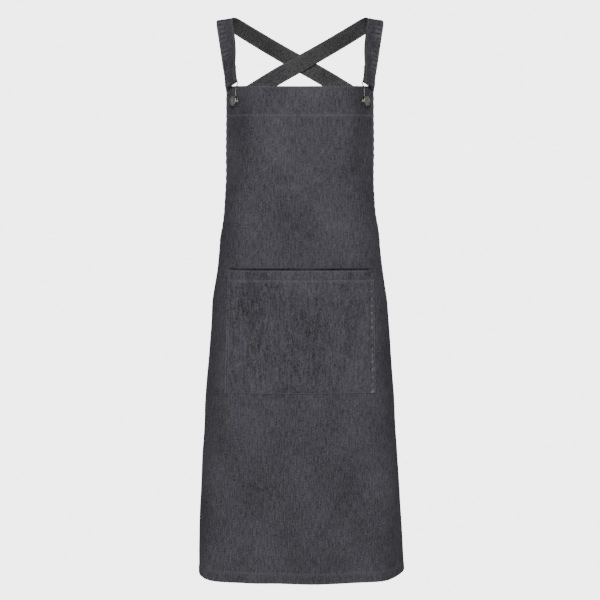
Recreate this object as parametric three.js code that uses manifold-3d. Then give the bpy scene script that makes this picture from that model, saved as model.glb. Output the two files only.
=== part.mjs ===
// Cross-back bib apron in heavy denim, as it hangs on its wearer: a wrap-round panel with a deep top hem,
// a patch pocket with a pen slot, and two shoulder straps that cross at the back. Each strap ends in a loop
// round a bent-wire clip, and the clip's ring is hooked under a shank button at the corner of the bib.
// Millimetres, +X to the viewer's right, +Y away from the viewer, +Z up. "left" is the -X side.

import * as THREE from 'three';
import Module from 'manifold-3d';
import { mergeVertices } from 'three/addons/utils/BufferGeometryUtils.js';

const wasm = await Module();
wasm.setup();

// ---------------------------------------------------------------- driving dimensions

const SHOULDER_HEIGHT = 985;     // shoulder under the straps, above the bottom edge of the skirt
const BIB_TOP = 860;             // top edge at the centre, above the bottom edge
const BIB_CORNER_LIFT = 4.5;     // how much higher the strap pulls each corner of the bib
const CLOTH = 1.0;               // one layer of denim with its seam allowance
const LAYER_GAP = 0.5;           // air between layers that only touch in the real apron

const BIB_HALF = 155;            // flat half width of the bib
const SKIRT_HALF = 350;          // flat half width of the skirt
const ARMHOLE_TOP = 650;         // where the side edge starts to run out to the back
const ARMHOLE_BOTTOM = 425;      // where it has reached the full width of the skirt

const TOP_HEM = 48;
const SIDE_HEM = 9;
const BOTTOM_HEM = 16;

const POCKET = { bottom: 332, top: 544, hem: 16, left: [-133, -128], right: [134, 131], divider: -94.5 };
const POCKET_GAPE = 9;           // how far the middle of the pocket mouth stands off the panel
const PEN_GAPE = 8;

const STRAP = { width: 30, thickness: 2.0, split: 118, splitGap: 1.5 };
const STRAP_ANCHOR = { height: 764, overlap: 34 };

const BUTTON = { across: 123, height: 836, capRadius: 8.7, capUnder: 5.3, capTop: 8.0, shank: 3.5 };
const TACK = { post: 1.3, disc: 5.0, hole: 2.0 };

const WIRE = { radius: 1.0, ring: 8.0, ringLift: 2.5, bar: 32, barHalf: 17 };
const WIRE_KNEE = { down: 24.5, in: 10.5, to: 22.2 };
const CLIP_LEAN = 21;            // turn of the clip in the plane of the cloth, inner end of the bar up
const CLIP_RAKE = 4.5;           // how far the clip stands off the cloth towards its bar

// Level sections of the cloth: at each height, the distance from the body's axis to the front, then the
// lengths of five tangent arcs from the centre of the front round to the back, and what each one turns.
const SECTIONS = [
  { height: 0, front: 122, arcs: [[128, 13], [50, 45], [58, 32], [80, 40], [110, 40]] },
  { height: 300, front: 120, arcs: [[118, 13], [46, 45], [54, 32], [76, 42], [110, 40]] },
  { height: 488, front: 117, arcs: [[107, 13], [43, 45], [50, 32], [75, 44], [115, 42]] },
  { height: 596, front: 114, arcs: [[96, 13], [40, 45], [50, 32], [75, 48], [120, 42]] },
  { height: 670, front: 114, arcs: [[89, 12], [34, 42], [50, 28], [80, 60], [130, 38]] },
  { height: 740, front: 116, arcs: [[71, 10], [30, 38], [75, 12], [80, 75], [142, 45]] },
  { height: 820, front: 111, arcs: [[70, 10], [30, 38], [75, 12], [80, 75], [142, 45]] },
  { height: 900, front: 98, arcs: [[70, 10], [30, 38], [75, 12], [80, 75], [142, 45]] },
];

const DENIM = new THREE.MeshStandardMaterial({ color: 0x49484d, roughness: 0.92, metalness: 0 });
const DENIM_INSIDE = new THREE.MeshStandardMaterial({ color: 0x5b5b5d, roughness: 0.95, metalness: 0 });
const NICKEL = new THREE.MeshStandardMaterial({ color: 0x8f8d86, roughness: 0.35, metalness: 0.9 });
const WIRE_STEEL = new THREE.MeshStandardMaterial({ color: 0xb9b9b6, roughness: 0.25, metalness: 1 });

// ---------------------------------------------------------------- small helpers

const radians = THREE.MathUtils.degToRad;
const clamp = THREE.MathUtils.clamp;
const vec = (x, y, z) => new THREE.Vector3(x, y, z);

function smooth(value) {
  const t = clamp(value, 0, 1);
  return t * t * (3 - 2 * t);
}

function steps(from, to, longest) {
  const count = Math.max(1, Math.ceil(Math.abs(to - from) / longest - 1e-6));
  return Array.from({ length: count + 1 }, (_, i) => from + ((to - from) * i) / count);
}

function catmull(a, b, c, d, t) {
  return b + 0.5 * t * (c - a + t * (2 * a - 5 * b + 4 * c - d + t * (3 * (b - c) + d - a)));
}

// ---------------------------------------------------------------- the surface the cloth lies on

function sectionAt(height) {
  const last = SECTIONS.length - 1;
  let i = 0;
  while (i < last - 1 && height > SECTIONS[i + 1].height) i += 1;
  const near = [Math.max(0, i - 1), i, i + 1, Math.min(last, i + 2)].map((k) => SECTIONS[k]);
  const t = clamp((height - near[1].height) / (near[2].height - near[1].height), 0, 1);
  const mix = (read) => catmull(...near.map(read), t);
  return {
    front: mix((s) => s.front),
    arcs: near[1].arcs.map((_, k) => [mix((s) => s.arcs[k][0]), radians(mix((s) => s.arcs[k][1]))]),
  };
}

// The point that lies `across` millimetres round the cloth from the centre of the front, and how far
// the cloth has turned there.
function walk(height, across) {
  const section = sectionAt(height);
  let left = Math.abs(across);
  let x = 0;
  let y = -section.front;
  let turn = 0;
  section.arcs.forEach(([length, angle], k) => {
    const isLast = k === section.arcs.length - 1;
    const run = isLast ? left : Math.min(left, length);
    const next = turn + (angle * run) / length;
    const radius = length / angle;
    x += radius * (Math.sin(next) - Math.sin(turn));
    y += radius * (Math.cos(turn) - Math.cos(next));
    turn = next;
    left -= run;
  });
  const side = across < 0 ? -1 : 1;
  return { point: vec(side * x, y, height), turn: side * turn };
}

function normalAt(height, across) {
  const here = walk(height, across);
  const above = walk(height + 4, across).point;
  const below = walk(height - 4, across).point;
  const along = vec(Math.cos(here.turn), Math.sin(here.turn), 0);
  return along.cross(above.sub(below)).normalize();
}

// A point of the cloth, moved `offset` outwards from the middle of the panel's thickness.
function onCloth(height, across, offset) {
  return walk(height, across).point.addScaledVector(normalAt(height, across), offset);
}

function panelHalf(height) {
  const spread = smooth((ARMHOLE_TOP - height) / (ARMHOLE_TOP - ARMHOLE_BOTTOM));
  return BIB_HALF + (SKIRT_HALF - BIB_HALF) * spread;
}

// ---------------------------------------------------------------- closed sheets of cloth

const ROWS = [0, 45, 95, 150, 205, 260, 315, 365, 405, 440, 470, 500, 530, 560, 590, 620, 650, 690, 735, 775,
  812, 836, 860];
const COLUMNS = [0, 40, 68, 82, 96, 110, 124, 138, 152, 168, 184, 200, 220, 240, 262, 284, 306, 328, 350];

function columnsBetween(from, to) {
  const all = [...COLUMNS.slice(1).reverse().map((c) => -c), ...COLUMNS];
  const [first, last] = [from + SIDE_HEM, to - SIDE_HEM];
  const margin = 4;
  return [from, first, ...all.filter((c) => c > first + margin && c < last - margin), last, to];
}

// Joins two rows of points that may differ in number, always taking the shorter step next.
function zip(rowA, rowB, keysA, keysB, triangles) {
  let a = 0;
  let b = 0;
  while (a < rowA.length - 1 || b < rowB.length - 1) {
    const stepA = a < rowA.length - 1 ? keysA[a + 1] : Infinity;
    const stepB = b < rowB.length - 1 ? keysB[b + 1] : Infinity;
    if (stepA <= stepB) {
      triangles.push(rowA[a], rowA[a + 1], rowB[b]);
      a += 1;
    } else {
      triangles.push(rowA[a], rowB[b + 1], rowB[b]);
      b += 1;
    }
  }
}

// A closed sheet that follows the body. rows are heights; from(height) and to(height) are its side edges;
// outer and inner (height, across) are the offsets of its two faces. lift moves a row's points up or down.
function sheet({ rows, from, to, outer, inner, lift = () => 0, columns = columnsBetween }) {
  const positions = [];
  const triangles = [];
  const faces = [outer, inner].map((offset) =>
    rows.map((height) => {
      const keys = columns(from(height), to(height), height);
      const ids = keys.map((across) => {
        const point = onCloth(height, across, offset(height, across));
        positions.push(point.x, point.y, point.z + lift(height, across));
        return positions.length / 3 - 1;
      });
      return { keys, ids };
    })
  );
  const [front, back] = faces;
  for (let r = 0; r < rows.length - 1; r += 1) {
    zip(front[r].ids, front[r + 1].ids, front[r].keys, front[r + 1].keys, triangles);
    const under = [];
    zip(back[r].ids, back[r + 1].ids, back[r].keys, back[r + 1].keys, under);
    for (let i = 0; i < under.length; i += 3) triangles.push(under[i], under[i + 2], under[i + 1]);
  }
  const rim = (outerIds, innerIds) => {
    for (let i = 0; i < outerIds.length - 1; i += 1) {
      triangles.push(outerIds[i], innerIds[i + 1], outerIds[i + 1]);
      triangles.push(outerIds[i], innerIds[i], innerIds[i + 1]);
    }
  };
  const last = rows.length - 1;
  rim(front[0].ids, back[0].ids);
  rim([...front[last].ids].reverse(), [...back[last].ids].reverse());
  rim(front.map((row) => row.ids[0]).reverse(), back.map((row) => row.ids[0]).reverse());
  rim(front.map((row) => row.ids.at(-1)), back.map((row) => row.ids.at(-1)));
  return geometryFrom(positions, triangles);
}

function geometryFrom(positions, triangles) {
  const geometry = new THREE.BufferGeometry();
  geometry.setAttribute('position', new THREE.Float32BufferAttribute(positions, 3));
  geometry.setIndex(triangles);
  geometry.computeVertexNormals();
  return geometry;
}

// ---------------------------------------------------------------- booleans

function solidFrom(geometry) {
  const bare = geometry.clone();
  bare.deleteAttribute('normal');
  bare.deleteAttribute('uv');
  const merged = mergeVertices(bare, 1e-4);
  const vertProperties = Float32Array.from(merged.attributes.position.array);
  const triVerts = Uint32Array.from(merged.index.array);
  return new wasm.Manifold(new wasm.Mesh({ numProp: 3, vertProperties, triVerts }));
}

function geometryOf(solid) {
  const mesh = solid.getMesh();
  return geometryFrom(Array.from(mesh.vertProperties), Array.from(mesh.triVerts));
}

function cutHoles(geometry, frames, radius) {
  const drill = new THREE.CylinderGeometry(radius, radius, 24, 12).rotateX(Math.PI / 2);
  let solid = solidFrom(geometry);
  frames.forEach((frame) => {
    solid = solid.subtract(solidFrom(drill.clone().applyMatrix4(frame)));
  });
  return geometryOf(solid);
}

// ---------------------------------------------------------------- button and clip places

// Frame of a button: origin on the outer face of the cloth, z outwards along the shank, x along the
// clip's bar towards the side of the body, y up along the clip.
function buttonFrame(side) {
  const across = side * BUTTON.across;
  const outward = normalAt(BUTTON.height, across);
  const upright = vec(0, 0, 1).addScaledVector(outward, -outward.z).normalize();
  const clipUp = upright.clone().applyAxisAngle(outward, -side * radians(CLIP_LEAN));
  const barAxis = clipUp.clone().cross(outward);
  const origin = onCloth(BUTTON.height, across, CLOTH / 2);
  return new THREE.Matrix4().makeBasis(barAxis, clipUp, outward).setPosition(origin);
}

// The clip stands in the button's frame, raked so that its bar clears the cloth.
function clipFrame(side) {
  const rake = new THREE.Matrix4().makeRotationX(radians(CLIP_RAKE));
  const lift = new THREE.Matrix4().makeTranslation(0, 0, WIRE.ringLift);
  return buttonFrame(side).multiply(lift).multiply(rake);
}

// ---------------------------------------------------------------- cloth pieces

const bothButtons = [buttonFrame(-1), buttonFrame(1)];
const faceOut = CLOTH / 2;
const faceIn = -CLOTH / 2;
const innerLayer = [faceIn - LAYER_GAP, faceIn - LAYER_GAP - CLOTH];

function cornerLift(height, across) {
  const near = smooth((height - (BIB_TOP - 2 * TOP_HEM)) / (2 * TOP_HEM));
  return BIB_CORNER_LIFT * near * (across / BIB_HALF) ** 2;
}

function panel() {
  const geometry = sheet({
    rows: ROWS,
    from: (height) => -panelHalf(height),
    to: panelHalf,
    outer: () => faceOut,
    inner: () => faceIn,
    lift: cornerLift,
  });
  return cutHoles(geometry, bothButtons, TACK.hole);
}

function bibFacing() {
  const geometry = sheet({
    rows: [BIB_TOP - TOP_HEM, BIB_TOP - TOP_HEM / 2, BIB_TOP - 0.5],
    from: (height) => 1 - panelHalf(height),
    to: (height) => panelHalf(height) - 1,
    outer: () => innerLayer[0],
    inner: () => innerLayer[1],
    lift: cornerLift,
  });
  return cutHoles(geometry, bothButtons, TACK.hole);
}

function sideHem(side) {
  const edge = (height) => side * panelHalf(height);
  const inside = (height) => side * (panelHalf(height) - SIDE_HEM);
  const [lowest, highest] = [BOTTOM_HEM + 2, BIB_TOP - TOP_HEM - 2];
  return sheet({
    rows: [lowest, ...ROWS.filter((row) => row > lowest + 4 && row < highest - 4), highest],
    from: side < 0 ? edge : inside,
    to: side < 0 ? inside : edge,
    outer: () => innerLayer[0],
    inner: () => innerLayer[1],
    lift: cornerLift,
    columns: (from, to) => [from, to],
  });
}

function bottomHem() {
  return sheet({
    rows: [0.5, BOTTOM_HEM],
    from: () => 0.5 - SKIRT_HALF,
    to: () => SKIRT_HALF - 0.5,
    outer: () => innerLayer[0],
    inner: () => innerLayer[1],
  });
}

function pocketEdge([bottom, top], height) {
  const t = (height - POCKET.bottom) / (POCKET.top - POCKET.bottom);
  return bottom + (top - bottom) * t;
}

// How far the pocket stands off the panel: two bays, closed at the seams and at the bottom.
function pocketGape(height, across) {
  const left = pocketEdge(POCKET.left, height);
  const right = pocketEdge(POCKET.right, height);
  const inPen = across < POCKET.divider;
  const [start, end, depth] = inPen ? [left, POCKET.divider, PEN_GAPE] : [POCKET.divider, right, POCKET_GAPE];
  const u = clamp((across - start) / (end - start), 0, 1);
  const bay = Math.sin(Math.PI * u) ** 0.6;
  const up = Math.sin((Math.PI / 2) * clamp((height - POCKET.bottom) / (POCKET.top - POCKET.bottom), 0, 1));
  const hemRoom = (CLOTH + LAYER_GAP) * smooth((height - (POCKET.top - 2 * POCKET.hem)) / POCKET.hem);
  return hemRoom + depth * bay * up ** 0.7;
}

function pocketColumns(from, to) {
  return [...steps(from, POCKET.divider, 6), ...steps(POCKET.divider, to, 15).slice(1)];
}

function pocketPatch() {
  const base = faceOut + LAYER_GAP;
  return sheet({
    rows: [POCKET.bottom, 337, 346, 360, 385, 415, 445, 475, 500, 512, 520, 528, POCKET.top],
    from: (height) => pocketEdge(POCKET.left, height),
    to: (height) => pocketEdge(POCKET.right, height),
    outer: (height, across) => base + CLOTH + pocketGape(height, across),
    inner: (height, across) => base + pocketGape(height, across),
    columns: pocketColumns,
  });
}

function pocketTopHem() {
  const base = faceOut;
  return sheet({
    rows: [POCKET.top - POCKET.hem, POCKET.top - 0.5],
    from: (height) => pocketEdge(POCKET.left, height),
    to: (height) => pocketEdge(POCKET.right, height),
    outer: (height, across) => base + pocketGape(height, across),
    inner: (height, across) => base + pocketGape(height, across) - CLOTH,
    columns: (from, to) => pocketColumns(from, to).slice(1, -1),
  });
}

// ---------------------------------------------------------------- straps

// A flat band swept through stations, each with its centre, the way its outer face looks, its width and,
// where it has to match the end of another piece, its heading.
function band(stations, thickness) {
  const positions = [];
  const triangles = [];
  const count = stations.length;
  stations.forEach(({ centre, outward, width, heading }, i) => {
    const ahead = stations[Math.min(i + 1, count - 1)].centre;
    const behind = stations[Math.max(i - 1, 0)].centre;
    const along = heading ?? ahead.clone().sub(behind).normalize();
    const sideways = outward.clone().cross(along).normalize();
    const out = along.clone().cross(sideways).normalize();
    const corners = [[1, 1], [-1, 1], [-1, -1], [1, -1]];
    corners.forEach(([w, h]) => {
      const corner = centre.clone();
      corner.addScaledVector(sideways, (w * width) / 2).addScaledVector(out, (h * thickness) / 2);
      positions.push(corner.x, corner.y, corner.z);
    });
  });
  for (let i = 0; i < count - 1; i += 1) {
    for (let k = 0; k < 4; k += 1) {
      const a = 4 * i + k;
      const b = 4 * i + ((k + 1) % 4);
      triangles.push(a, b, b + 4, a, b + 4, a + 4);
    }
  }
  const end = 4 * (count - 1);
  triangles.push(0, 2, 1, 0, 3, 2, end, end + 1, end + 2, end, end + 2, end + 3);
  return geometryFrom(positions, triangles);
}

// The strap's centre line from the clip's bar over the shoulder and round the back, for the left strap;
// the right one is its mirror image. Each point has the way the outer face looks.
const UNDER = -2.2;
const OVER = 2.2;

function strapRoute(side) {
  const clip = clipFrame(side);
  const bar = vec(0, WIRE.bar, 0).applyMatrix4(clip);
  const clipOut = vec(0, 0, 1).transformDirection(clip);
  const clipUp = vec(0, 1, 0).transformDirection(clip);
  const cross = side < 0 ? OVER : UNDER;
  const mirror = (x, y, z) => vec(-side * x, y, z);
  const lay = faceIn - 2 * LAYER_GAP - CLOTH - STRAP.thickness / 2;
  const overlap = STRAP_ANCHOR.overlap;
  const route = [
    { centre: bar.clone(), outward: clipOut },
    { centre: bar.clone().addScaledVector(clipUp, 32), outward: clipOut },
    { centre: mirror(-126, -24, 927), outward: mirror(-0.42, -0.86, 0.3) },
    { centre: mirror(-131, -5, 962), outward: mirror(-0.24, -0.84, 0.5) },
    { centre: mirror(-134.5, 12, 987), outward: mirror(-0.12, -0.35, 0.93) },
    { centre: mirror(-130, 29, 987), outward: mirror(-0.16, 0.35, 0.92) },
    { centre: mirror(-112, 47, 976), outward: mirror(-0.2, 0.68, 0.7) },
    { centre: mirror(-80, 66, 958), outward: mirror(-0.15, 0.79, 0.6) },
    { centre: mirror(-40, 84 + 0.8 * cross, 936), outward: mirror(-0.08, 0.86, 0.5) },
    { centre: mirror(0, 95 + cross, 914.5), outward: mirror(0, 0.93, 0.37) },
    { centre: mirror(38, 101 + 0.8 * cross, 894), outward: mirror(0.12, 0.96, 0.2) },
    { centre: mirror(72, 99, 873.5), outward: mirror(0.4, 0.9, 0.1) },
    { centre: mirror(100, 84, 855), outward: mirror(0.72, 0.69, 0.05) },
    { centre: mirror(117, 56, 833), outward: mirror(0.93, 0.36, 0.02) },
    { centre: mirror(122, 20, 810), outward: mirror(1, 0.03, 0) },
    { centre: mirror(121.5, -16, 788), outward: mirror(0.98, -0.18, 0) },
  ];
  const anchorAt = (across, height, extra) => ({
    centre: onCloth(height, -side * across, lay - extra),
    outward: normalAt(height, -side * across),
  });
  route.push(anchorAt(BIB_HALF - 6, STRAP_ANCHOR.height + 3, 2));
  route.push(anchorAt(BIB_HALF - overlap, STRAP_ANCHOR.height - 12, 0));
  return route;
}

// Even stations along the smooth line through a route, with their distances from the bar.
function strapStations(side) {
  const route = strapRoute(side);
  const line = new THREE.CatmullRomCurve3(route.map((stop) => stop.centre), false, 'centripetal');
  const faces = new THREE.CatmullRomCurve3(route.map((stop) => stop.outward), false, 'centripetal');
  const perSpan = 3;
  const count = (route.length - 1) * perSpan;
  let run = 0;
  let before = null;
  return Array.from({ length: count + 1 }, (_, i) => {
    const t = i / count;
    const centre = line.getPoint(t);
    if (before) run += centre.distanceTo(before);
    before = centre;
    return { centre, outward: faces.getPoint(t).normalize(), width: STRAP.width, run };
  });
}

function between(stations, from, to) {
  const inside = stations.filter((s) => s.run > from + 3 && s.run < to - 3);
  const cut = (run) => {
    const i = Math.max(1, stations.findIndex((s) => s.run >= run));
    const [a, b] = [stations[i - 1], stations[i]];
    const t = (run - a.run) / (b.run - a.run);
    const outward = a.outward.clone().lerp(b.outward, t).normalize();
    return { centre: a.centre.clone().lerp(b.centre, t), outward, width: STRAP.width, run };
  };
  return [cut(from), ...inside, cut(to)];
}

const LOOP = { tail: 31, bore: 1.5, outer: 4.1 };

// The folded end of the strap, sewn round the bar of the clip, as one solid: a tube with a flat tail.
function strapLoop(side) {
  const half = LOOP.outer;
  const flat = STRAP.thickness + 0.2;
  const outline = new THREE.Shape();
  outline.moveTo(flat, LOOP.tail);
  outline.lineTo(-flat, LOOP.tail);
  outline.lineTo(-flat, LOOP.outer + 5);
  outline.quadraticCurveTo(-half, LOOP.outer, -half, 0);
  outline.absarc(0, 0, half, Math.PI, 2 * Math.PI, false);
  outline.quadraticCurveTo(half, LOOP.outer, flat, LOOP.outer + 5);
  const bore = new THREE.Path();
  bore.absarc(0, 0, LOOP.bore, 0, 2 * Math.PI, true);
  outline.holes.push(bore);
  const solid = new THREE.ExtrudeGeometry(outline, { depth: STRAP.width, bevelEnabled: false, curveSegments: 5 });
  solid.translate(0, 0, -STRAP.width / 2).rotateY(Math.PI / 2);
  const frame = clipFrame(side).multiply(new THREE.Matrix4().makeTranslation(0, WIRE.bar, 0));
  return solid.applyMatrix4(frame);
}

function strapFront(side) {
  const stations = between(strapStations(side), LOOP.tail + 1.5, STRAP.split);
  stations[0].heading = vec(0, 1, 0).transformDirection(clipFrame(side));
  return band(stations, STRAP.thickness);
}

function strapRear(side) {
  const stations = strapStations(side);
  return band(between(stations, STRAP.split + STRAP.splitGap, stations.at(-1).run), STRAP.thickness);
}

// ---------------------------------------------------------------- wire clip

// One length of wire: from the middle of the bar down one side, round the ring, up the other side and
// back to the middle of the bar, where its two ends meet inside the strap's loop.
function wirePath() {
  const neckAngle = radians(58);
  const neck = [WIRE.ring * Math.cos(neckAngle), WIRE.ring * Math.sin(neckAngle)];
  const joint = 0.3;
  const half = [
    [joint, WIRE.bar], [WIRE.barHalf - 2, WIRE.bar], [WIRE.barHalf, WIRE.bar - 2],
    [WIRE.barHalf, WIRE_KNEE.down + 1.2], [WIRE.barHalf - 1.4, WIRE_KNEE.down - 0.4],
    [WIRE_KNEE.in + 1.2, WIRE_KNEE.to + 0.6], [WIRE_KNEE.in - 0.6, WIRE_KNEE.to - 1.2], neck,
  ];
  const ringSteps = 14;
  const arc = Array.from({ length: ringSteps - 1 }, (_, i) => {
    const angle = neckAngle - ((i + 1) / ringSteps) * (Math.PI + 2 * neckAngle);
    return [WIRE.ring * Math.cos(angle), WIRE.ring * Math.sin(angle)];
  });
  const other = half.map(([x, y]) => [-x, y]).reverse();
  return [...half, ...arc, ...other].map(([x, y]) => vec(x, y, 0));
}

// A round wire of `sides` facets through the points of a flat path, mitred at each point.
function wire(path, radius, sides) {
  const positions = [];
  const triangles = [];
  const across = vec(0, 0, 1);
  path.forEach((point, i) => {
    const into = point.clone().sub(path[Math.max(i - 1, 0)]).normalize();
    const out = path[Math.min(i + 1, path.length - 1)].clone().sub(point).normalize();
    const along = into.clone().add(out).normalize();
    const mitre = i === 0 || i === path.length - 1 ? 1 : 1 / along.dot(out);
    const sideways = along.clone().cross(across).multiplyScalar(radius * mitre);
    for (let k = 0; k < sides; k += 1) {
      const angle = ((k + 0.5) * 2 * Math.PI) / sides;
      const spot = point.clone().addScaledVector(sideways, Math.cos(angle));
      spot.addScaledVector(across, radius * Math.sin(angle));
      positions.push(spot.x, spot.y, spot.z);
    }
  });
  for (let i = 0; i < path.length - 1; i += 1) {
    for (let k = 0; k < sides; k += 1) {
      const a = sides * i + k;
      const b = sides * i + ((k + 1) % sides);
      triangles.push(a, b + sides, b, a, a + sides, b + sides);
    }
  }
  const end = sides * (path.length - 1);
  for (let k = 1; k < sides - 1; k += 1) {
    triangles.push(0, k, k + 1);
    triangles.push(end, end + k + 1, end + k);
  }
  return geometryFrom(positions, triangles);
}

function clipWire(side) {
  return wire(wirePath(), WIRE.radius, 8).applyMatrix4(clipFrame(side));
}

// ---------------------------------------------------------------- shank button

function turned(profile, frame, facets = 20) {
  const points = profile.map(([radius, height]) => new THREE.Vector2(radius, height));
  const solid = new THREE.LatheGeometry(points, facets).rotateX(Math.PI / 2);
  return solid.applyMatrix4(frame);
}

function buttonCap(side) {
  const { capRadius, capUnder, capTop } = BUTTON;
  const profile = [[0, capUnder], [capRadius - 1.2, capUnder], [capRadius, capUnder + 0.9],
    [capRadius - 0.5, capTop - 0.3], [capRadius - 1.6, capTop], [capRadius - 2.4, capTop - 0.6],
    [3.6, capTop - 0.4], [0, capTop - 0.4]];
  return turned(profile, buttonFrame(side));
}

function buttonShank(side) {
  const { capUnder, shank } = BUTTON;
  const bore = TACK.post + 0.3;
  const profile = [[bore, 0.3], [shank + 0.9, 0.3], [shank + 0.9, 0.9], [shank, 1.5],
    [shank, capUnder - 1.0], [shank + 0.6, capUnder - 0.3], [0, capUnder - 0.3], [0, capUnder - 1.2],
    [bore, capUnder - 1.2], [bore, 0.3]];
  return turned(profile, buttonFrame(side), 16);
}

function buttonTack(side) {
  const inside = -2 * CLOTH - LAYER_GAP - 0.3;
  const tip = BUTTON.capUnder - 1.6;
  const profile = [[0, inside - 1.0], [TACK.disc - 0.4, inside - 1.0], [TACK.disc, inside - 0.6],
    [TACK.disc, inside], [TACK.post, inside], [TACK.post, tip - 0.8], [0.4, tip], [0, tip]];
  return turned(profile, buttonFrame(side), 16);
}

// ---------------------------------------------------------------- assembly

const apron = new THREE.Group();
apron.position.z = -SHOULDER_HEIGHT;

function add(name, geometry, material) {
  const mesh = new THREE.Mesh(geometry, material);
  mesh.name = name;
  apron.add(mesh);
}

add('apron_panel', panel(), DENIM);
add('bib_facing', bibFacing(), DENIM_INSIDE);
add('bottom_hem', bottomHem(), DENIM_INSIDE);
add('pocket_patch', pocketPatch(), DENIM);
add('pocket_top_hem', pocketTopHem(), DENIM_INSIDE);

[['left', -1], ['right', 1]].forEach(([name, side]) => {
  add(`${name}_side_hem`, sideHem(side), DENIM_INSIDE);
  add(`${name}_strap_rear`, strapRear(side), DENIM);
  add(`${name}_strap_front`, strapFront(side), DENIM);
  add(`${name}_strap_loop`, strapLoop(side), DENIM);
  add(`${name}_clip_wire`, clipWire(side), WIRE_STEEL);
  add(`${name}_button_cap`, buttonCap(side), NICKEL);
  add(`${name}_button_shank`, buttonShank(side), NICKEL);
  add(`${name}_button_tack`, buttonTack(side), NICKEL);
});

export default apron;
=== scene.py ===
import math
from functools import partial

import bpy
import numpy as np
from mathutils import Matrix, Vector


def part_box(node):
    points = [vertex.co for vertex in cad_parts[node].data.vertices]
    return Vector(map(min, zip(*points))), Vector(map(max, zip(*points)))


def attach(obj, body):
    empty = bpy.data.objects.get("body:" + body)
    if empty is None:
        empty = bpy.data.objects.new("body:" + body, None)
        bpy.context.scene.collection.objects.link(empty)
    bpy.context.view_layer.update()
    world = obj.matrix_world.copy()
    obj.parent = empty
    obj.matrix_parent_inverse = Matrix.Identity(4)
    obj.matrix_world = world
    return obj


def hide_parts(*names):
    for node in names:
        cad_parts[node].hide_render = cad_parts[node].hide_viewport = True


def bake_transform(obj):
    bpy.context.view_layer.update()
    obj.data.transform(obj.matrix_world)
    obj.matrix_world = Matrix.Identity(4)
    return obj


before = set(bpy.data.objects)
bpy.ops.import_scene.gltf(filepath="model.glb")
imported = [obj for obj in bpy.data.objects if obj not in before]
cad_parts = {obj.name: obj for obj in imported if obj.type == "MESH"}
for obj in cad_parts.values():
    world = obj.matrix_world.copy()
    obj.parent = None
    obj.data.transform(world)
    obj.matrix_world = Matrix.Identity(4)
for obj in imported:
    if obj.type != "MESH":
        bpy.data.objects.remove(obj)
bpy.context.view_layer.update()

# Lengths are in millimetres, heights above the bottom edge of the skirt and distances round the cloth
# from the centre of its front. to_frame() turns them into the frame's metres, which the lights and the
# camera use. A pucker's value is the distance from one ripple of a seam to the next.

MM = 0.001
HEM_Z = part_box("apron_panel")[0][2]

BIB_TOP = 860.0
CORNER_LIFT = 4.5
HEM_CORNER_LIFT = 5.0
BIB_HALF = 155.0
SKIRT_HALF = 350.0
ARMHOLE_TOP = 650.0
ARMHOLE_BOTTOM = 425.0
TOP_HEM = 48.0
SIDE_HEM = 9.0
BOTTOM_HEM = 16.0
CLOTH = 1.0
HEM_LAYER = 0.75
CHEST = 640.0
SIDE_PUCKER = 13.5

POCKET_BOTTOM = 332.0
POCKET_TOP = 544.0
POCKET_HEM = 16.0
POCKET_LEFT = (-133.0, -128.0)
POCKET_RIGHT = (134.0, 131.0)
PEN_DIVIDER = -94.5
POCKET_GAPE = 6.5
PEN_GAPE = 3.5
MOUTH_SINK = 4.2
POCKET_SEAMS = (2.0, 6.5)
POCKET_PUCKER = 12.5

STRAP_WIDTH = 30.5
STRAP_THICKNESS = 1.9
STITCH_INSET = 3.0
STRAP_PUCKER = 9.5

STITCH_SWELL = (0.45, 1.0, 1.0, 0.45)
STITCH_RISE = (-0.12, 0.12, 0.12, -0.12)
THREAD_LIFT = 0.25

BUTTON_ACROSS = 123.0
BUTTON_HEIGHT = 836.0
CLIP_LEAN = math.radians(21.0)
CLIP_RAKE = math.radians(4.5)
RING_LIFT = 2.5
WIRE_RADIUS = 1.0
WIRE_SLIMMING = 0.88
RING_RADIUS = 8.0
BAR_UP = 32.0
BAR_HALF = 17.0

SIDES = (("left", -1), ("right", 1))

# Each level section: height, distance from the body's axis to the front, then the length and turn in
# degrees of five tangent arcs from the centre of the front round to the back.
SECTIONS = np.array([
    [0, 122, 128, 13, 50, 45, 58, 32, 80, 40, 110, 40],
    [300, 120, 118, 13, 46, 45, 54, 32, 76, 42, 110, 40],
    [488, 117, 107, 13, 43, 45, 50, 32, 75, 44, 115, 42],
    [596, 114, 96, 13, 40, 45, 50, 32, 75, 48, 120, 42],
    [670, 114, 89, 12, 34, 42, 50, 28, 80, 60, 130, 38],
    [740, 116, 71, 10, 30, 38, 75, 12, 80, 75, 142, 45],
    [820, 111, 70, 10, 30, 38, 75, 12, 80, 75, 142, 45],
    [900, 98, 70, 10, 30, 38, 75, 12, 80, 75, 142, 45],
], float)


# ---------------------------------------------------------------- small helpers

def smooth(value):
    """A soft step from 0 to 1 as value goes from 0 to 1."""
    t = np.clip(value, 0, 1)
    return t * t * (3 - 2 * t)


def unit(vectors):
    return vectors / np.maximum(np.linalg.norm(vectors, axis=-1, keepdims=True), 1e-9)


def wave(distance, pitch, phase=0.0):
    return np.sin(distance * math.tau / pitch + phase)


def bell(distance, width):
    return np.exp(-(distance / width) ** 2)


def run_along(points):
    """Distance along a line from its first point to each of its points."""
    return np.concatenate([[0], np.cumsum(np.linalg.norm(np.diff(points, axis=0), axis=1))])


def to_frame(points):
    moved = np.array(points, float) * MM
    moved[..., 2] += HEM_Z
    return moved


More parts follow.
